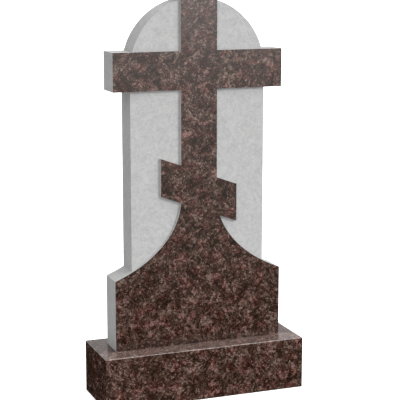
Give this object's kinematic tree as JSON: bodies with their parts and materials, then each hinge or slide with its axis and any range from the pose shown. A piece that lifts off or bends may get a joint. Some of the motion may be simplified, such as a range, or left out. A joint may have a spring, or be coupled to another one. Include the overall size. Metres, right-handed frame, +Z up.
{
  "type": "orthodox cross headstone",
  "caption": "Upright granite headstone carved as a cross with level arms and a slanted low bar, before a round-headed slab, standing on a rectangular plinth.",
  "frame": {"origin": "centre of the plinth's underside, on the ground", "axes": "+Z up, -Y out of the carved front, +X to the right of someone who faces the carved front"},
  "size_m": [0.6, 0.2, 1.1503],
  "materials": {
    "carved_granite": "red-brown granite, polished on the raised cross and foot, ground back to light grey on the field, sawn on the edges and the back",
    "polished_granite": "red-brown granite, polished, with a narrow honed arris along its top edges"
  },
  "bodies": {
    "root": {"stele": "carved_granite", "plinth": "polished_granite"}
  },
  "joints": []
}
